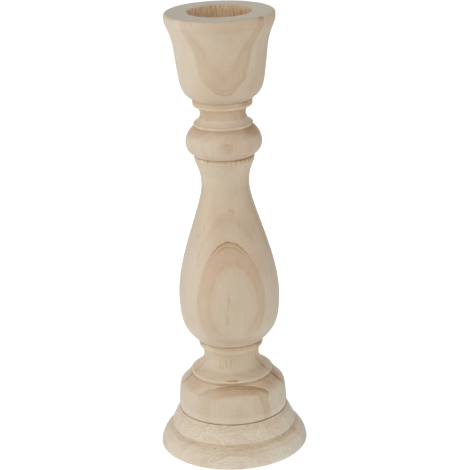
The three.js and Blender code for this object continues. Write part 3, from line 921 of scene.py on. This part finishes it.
def woodMaterial(name, v, figure, quirksAndPaintedLight, lipsAndHighlights, rough, marks, zones=(), blushes=()):
    material, tree = newMaterial(name)
    coords = addNode(tree, "TexCoord")
    place = addNode(tree, "VectorMath", {"operation": "MULTIPLY"},
                    {0: coords.outputs["Object"], 1: [1 / mm] * 3})
    x, y, z = addNode(tree, "SeparateXYZ", None, {0: place}).outputs

    # noise drawn out along the fibres
    def grain(width, length, detail, salt=0):
        stretch = [1 / (length if axis == v["fibreAxis"] else width) for axis in range(3)]
        return stretchedNoise(tree, place, stretch, detail, v["grainRoughness"], salt)

    # soft-edged spots at set places, added up
    def spots(places):
        total = 0
        for centre, reach, amount in places:
            spot = addNode(tree, "Mapping", {"vector_type": "TEXTURE"},
                           {"Vector": place, "Location": centre, "Scale": reach})
            spot = addNode(tree, "TexGradient", {"gradient_type": "SPHERICAL"}, {"Vector": spot})
            spot = addNode(tree, "MapRange", None,
                           {"Value": spot.outputs["Fac"], "From Max": v["spotCore"], "To Max": amount})
            total = compute(tree, "ADD", spot, total)
        return total

    def addShade(shade, value, amount):
        return compute(tree, "ADD", shade, compute(tree, "MULTIPLY_ADD", value, amount, -amount / 2))

    def tinted(colour, share, tone):
        return addNode(tree, "Mix", {"data_type": "RGBA"}, {0: share, 6: colour, 7: tone})

    # one shade from pale to dark: figure, fibres, pores, clouds, flecks, tool marks, painted shade and light
    # by height, and spots
    shade = figure(tree, place, grain)
    fibres = grain(v["fibreWidth"], v["fibreLength"], 3)
    rougher = addNode(tree, "Mix", {"clamp_factor": False}, {0: lookUp(tree, z, rough), 2: 0.5, 3: fibres})
    shade = addShade(shade, rougher, v["fibreShade"])
    shade = addShade(shade, grain(v["poreWidth"], v["poreLength"], 2, 7), v["poreShade"])
    shade = addShade(shade, grain(v["cloudWidth"], v["cloudLength"], 2, 3), v["cloudShade"])
    low, high = v["fleckLevels"]
    flecks = addNode(tree, "MapRange", None, {"Value": grain(v["fleckWidth"], v["fleckLength"], 1, 11),
                                              "From Min": low, "From Max": high, "To Max": v["fleckShade"]})
    shade = compute(tree, "ADD", shade, flecks)
    lathe = stretchedNoise(tree, place, (0.01, 0.01, 1 / v["turningPitch"]), 2)  # nearly even all round
    shade = addShade(shade, lathe, v["turningShade"])
    # painted shade and light by height, weaker on the left where the light falls straight on
    for stops in quirksAndPaintedLight:
        quirkAndPaintedLight = lookUp(tree, z, [(height, 0.5 + change) for height, change in stops])
        quirkAndPaintedLight = compute(tree, "SUBTRACT", quirkAndPaintedLight, 0.5)
        shade = compute(tree, "MULTIPLY_ADD", quirkAndPaintedLight, ease(tree, x, *v["paintedShadeAcross"]), shade)
    zoned = compute(tree, "ADD", shade, spots(zones))
    shade = compute(tree, "MULTIPLY_ADD", spots(marks), ease(tree, fibres, *v["markBreaks"]), zoned)

    # its colour, tinted by blushes, burnished lips with a painted highlight, a painted sheen toward the left
    # side, and the end grain
    tones = [(level, linearColour(tone)) for level, tone in v["tones"]]
    colour = addNode(tree, "ValToRGB", {"stops": tones}, {"Fac": shade})
    blush = ease(tree, grain(v["blushWidth"], v["blushLength"], 2, 21), *v["blushLevels"], 0, v["blushShade"])
    colour = tinted(colour, compute(tree, "ADD", blush, spots(blushes)), linearColour(v["blush"]))
    # burnished lips, partly a painted highlight
    colour = tinted(colour, lookUp(tree, z, lipsAndHighlights), linearColour(v["burnishAndHighlight"]))
    # painted sheen toward the left, where the light falls, stronger up the stem
    paler = compute(tree, "MULTIPLY", ease(tree, x, *v["paintedSheenAcross"], 0, v["paintedSheenShare"]),
                    ease(tree, z, *v["paintedSheenHeights"]))
    colour = tinted(colour, paler, linearColour(v["paintedSheen"]))
    facing = addNode(tree, "SeparateXYZ", None, {0: coords.outputs["Normal"]}).outputs[v["fibreAxis"]]
    endOn = ease(tree, compute(tree, "ABSOLUTE", facing), *v["endFacing"])
    (low, high), (light, dark) = v["endLevels"], v["endShades"]
    endTone = addNode(tree, "MapRange", None,
                      {"Value": shade, "From Min": low, "From Max": high, "To Min": light, "To Max": dark})
    endColour = addNode(tree, "VectorMath", {"operation": "SCALE"},
                        {0: linearColour(v["endGrain"])[:3], "Scale": endTone})
    colour = tinted(colour, endOn, endColour)
    height = compute(tree, "MULTIPLY_ADD", fibres, 0.5, lathe)
    finishMaterial(tree, height, v["bumpDepth"], v["bumpStrength"], {
        "Base Color": colour, "Roughness": v["roughness"], "Specular IOR Level": v["specular"],
        "Sheen Weight": v["fuzz"], "Sheen Roughness": v["fuzzRoughness"]})
    return material


# The base is turned from a plank of the same wood, so its fibres run across, left to right
baseWood = dict(stemWood, fibreAxis=0, fibreWidth=0.9, fibreLength=12, fibreShade=0.42,
                poreWidth=0.5, poreLength=4, poreShade=0.75, endGrain="#cfc4b0",
                tones=[(0, "#f2ebdd"), (0.5, "#dacab1"), (0.7, "#cfb997"), (1, "#a27e54")])
stemMaterial = woodMaterial("rawPoplarTurned", stemWood, stemFigure, stemQuirksAndPaintedLight, stemLipsAndHighlights, stemRough,
                            stemMarks, stemZonesAndPaintedLight, stemBlushes)
baseMaterial = woodMaterial("rawPoplarPlank", baseWood, baseFigure, baseQuirksAndPaintedLight, baseLipsAndHighlights, baseRough,
                            baseMarks, baseZones)

# The same wood where the drill tore it: deep warm slits between pale upright strips, their darkness painted
# shade
boreWood = {
    "slitShade": "#a87c50",
    "warm": "#edc9a0",
    "pale": "#fdebcd",
    "levels": [(0.27, "slitShade"), (0.4, "warm"), (0.62, "pale"), (0.75, "warm")],
    "stripWidth": 1.1,
    "stripLength": 8,
    "bumpDepth": 0.4,
    "bumpStrength": 1,
    "roughness": 0.8,
    "specular": 0.2,
}


def boreMaterial(name, v):
    material, tree = newMaterial(name)
    coords = addNode(tree, "TexCoord")
    across, along = 1 / (v["stripWidth"] * mm), 1 / (v["stripLength"] * mm)
    strips = stretchedNoise(tree, coords.outputs["Object"], (across, across, along), 3, 0.6)
    tones = [(level, linearColour(v[tone])) for level, tone in v["levels"]]
    colour = addNode(tree, "ValToRGB", {"stops": tones}, {"Fac": strips})
    finishMaterial(tree, strips, v["bumpDepth"], v["bumpStrength"], {
        "Base Color": colour, "Roughness": v["roughness"], "Specular IOR Level": v["specular"]})
    return material


# Zinc-plated steel, cold headed and thread rolled: bright grey with fine drawn scratches. Real
# ones are under 0.05 mm wide, so these are drawn coarser
screwSteel = {
    "zinc": "#c4c6c8",
    "scratches": (2500, 2500, 9000),  # scale per metre
    "bumpDepth": 0.02,
    "bumpStrength": 0.3,
    "roughness": (0.24, 0.44),
}


def steelMaterial(name, v):
    material, tree = newMaterial(name)
    coords = addNode(tree, "TexCoord")
    scratches = stretchedNoise(tree, coords.outputs["Object"], v["scratches"], 2)
    least, most = v["roughness"]
    rough = addNode(tree, "MapRange", None, {"Value": scratches, "To Min": least, "To Max": most})
    finishMaterial(tree, scratches, v["bumpDepth"], v["bumpStrength"], {
        "Base Color": linearColour(v["zinc"]), "Metallic": 1, "Roughness": rough})
    return material


stemMaterials = [stemMaterial, boreMaterial("rawPoplarTornBore", boreWood)]
finishPiece("stem", stem, stemMaterials, "turned_stem")
finishPiece("base", base, [baseMaterial], "turned_base")
finishPiece("screw", screw, [steelMaterial("zincPlatedSteel", screwSteel)], "base_screw")

# Stage: pale floor and surround that the camera sees as white, and soft lamps
stageValues = {
    "floorSize": 6,
    "floorColour": "#f2f0ec",
    "shadowGrey": 0.36,  # what the camera's floor reflects, which keeps the shadow
    "glowSpan": (0.06, 0.3, 0.86, 1),  # and how brightly it shines, by the distance from the object
    "target": 0.145,
    "lampDistance": 1.4,
    "lampSize": 0.9,
    "lamps": [  # name, degrees to the right of the camera, degrees up, watts
        ("front", 0, 3, 10.6),
        ("left", -90, 0, 9.5),
        ("leftHigh", -60, 55, 5.3),
        ("right", 90, 10, 3.7),
        ("rightHigh", 45, 55, 2.6),
        ("behind", 180, 40, 4.9),
    ],
}


def softLamp(v, name, azimuth, elevation, watts):
    a, e = math.radians(azimuth), math.radians(elevation)
    toward = Vector((math.sin(a) * math.cos(e), -math.cos(a) * math.cos(e), math.sin(e)))
    data = bpy.data.lights.new(name, "AREA")
    data.shape = "DISK"
    data.size = v["lampSize"]
    data.energy = watts
    lamp = bpy.data.objects.new(name, data)
    bpy.context.collection.objects.link(lamp)
    lamp.location = Vector((0, 0, v["target"])) + toward * v["lampDistance"]
    lamp.rotation_euler = toward.to_track_quat("Z", "Y").to_euler()


for lamp in stageValues["lamps"]:
    softLamp(stageValues, *lamp)


# 1 for the rays that show the surround: the camera's, and those mirrored or let through
def shownRays(tree):
    rays = addNode(tree, "LightPath").outputs
    seen = compute(tree, "MAXIMUM", rays["Is Camera Ray"], rays["Is Glossy Ray"])
    return compute(tree, "MAXIMUM", seen, rays["Is Transmission Ray"])


floorShape = bmesh.new()
bmesh.ops.create_grid(floorShape, x_segments=1, y_segments=1, size=stageValues["floorSize"] / 2)
floorData = bpy.data.meshes.new("floor")
floorShape.to_mesh(floorData)
floorShape.free()
floor = bpy.data.objects.new("floor", floorData)
bpy.context.collection.objects.link(floor)
floorMaterial, tree = newMaterial("paleFloor")
coords = addNode(tree, "TexCoord")
away = addNode(tree, "VectorMath", {"operation": "LENGTH"}, {0: coords.outputs["Object"]})
near, far, least, most = stageValues["glowSpan"]
glow = addNode(tree, "MapRange", None,
               {"Value": away, "From Min": near, "From Max": far, "To Min": least, "To Max": most})
paint = addNode(tree, "BsdfDiffuse", None, {"Color": linearColour(stageValues["floorColour"])})
dimmed = addNode(tree, "BsdfDiffuse", None, {"Color": (*[stageValues["shadowGrey"]] * 3, 1)})
shining = addNode(tree, "Emission", None, {"Strength": glow})
shown = addNode(tree, "AddShader", None, {0: dimmed, 1: shining})
both = addNode(tree, "MixShader", None, {0: shownRays(tree), 1: paint, 2: shown})
addNode(tree, "OutputMaterial", None, {0: both})
floorData.materials.append(floorMaterial)

world = bpy.data.worlds.new("studio")
world.use_nodes = True
tree = world.node_tree
tree.nodes.clear()
surround = addNode(tree, "Background", None, {"Color": (1, 1, 1, 1), "Strength": shownRays(tree)})
addNode(tree, "OutputWorld", None, {0: surround})
bpy.context.scene.world = world
print("stage made")
